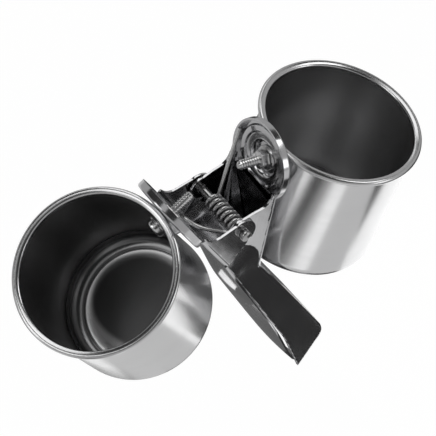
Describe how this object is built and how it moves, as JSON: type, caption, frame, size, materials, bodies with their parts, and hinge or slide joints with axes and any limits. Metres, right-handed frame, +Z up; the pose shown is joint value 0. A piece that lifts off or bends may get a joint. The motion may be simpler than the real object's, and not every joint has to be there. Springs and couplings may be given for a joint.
{
  "type": "clip-on bird feeder",
  "caption": "Clip-on bird feeder: polished steel cups bolted to the dished pads of a sprung sheet-metal clip, whose levers turn on a pivot pin to grip a perch.",
  "frame": {"origin": "where the two cup bolt axes cross, in the middle of the jaw gap that takes the perch", "axes": "+Z up, +Y along the pivot pin away from the viewer, +X from the left cup to the right cup"},
  "size_m": [0.2125, 0.0907, 0.1762],
  "materials": {
    "cup_steel": "polished stainless steel",
    "clip_steel": "bright plated sheet steel",
    "fastener_steel": "zinc plated steel",
    "spring_steel": "bright drawn spring wire"
  },
  "bodies": {
    "left_jaw": {"left_lever": "clip_steel", "pivot_pin": "fastener_steel", "torsion_spring": "spring_steel", "left_bolt": "fastener_steel", "left_nut": "fastener_steel", "left_nut_washer": "fastener_steel"},
    "right_jaw": {"right_lever": "clip_steel", "right_bolt": "fastener_steel", "right_nut": "fastener_steel", "right_nut_washer": "fastener_steel"},
    "left_cup": {"left_cup": "cup_steel", "left_cup_washer": "fastener_steel"},
    "right_cup": {"right_cup": "cup_steel", "right_cup_washer": "fastener_steel"}
  },
  "joints": [
    {"name": "jaw_hinge", "type": "hinge", "parent": "left_jaw", "child": "right_jaw", "pos_m": [0, 0, -0.02584], "axis": [0, -1, 0], "range_deg": [0, 41], "stiffness_Nm_per_rad": 0.8, "springref_deg": -20.05, "deforming": ["torsion_spring"]},
    {"name": "left_cup_swivel", "type": "hinge", "parent": "left_jaw", "child": "left_cup", "pos_m": [0, 0, 0], "axis": [0.9367, 0, 0.3502], "range_deg": [-60, 60]},
    {"name": "right_cup_swivel", "type": "hinge", "parent": "right_jaw", "child": "right_cup", "pos_m": [0, 0, 0], "axis": [-0.9367, 0, 0.3502], "range_deg": [-60, 60]}
  ]
}
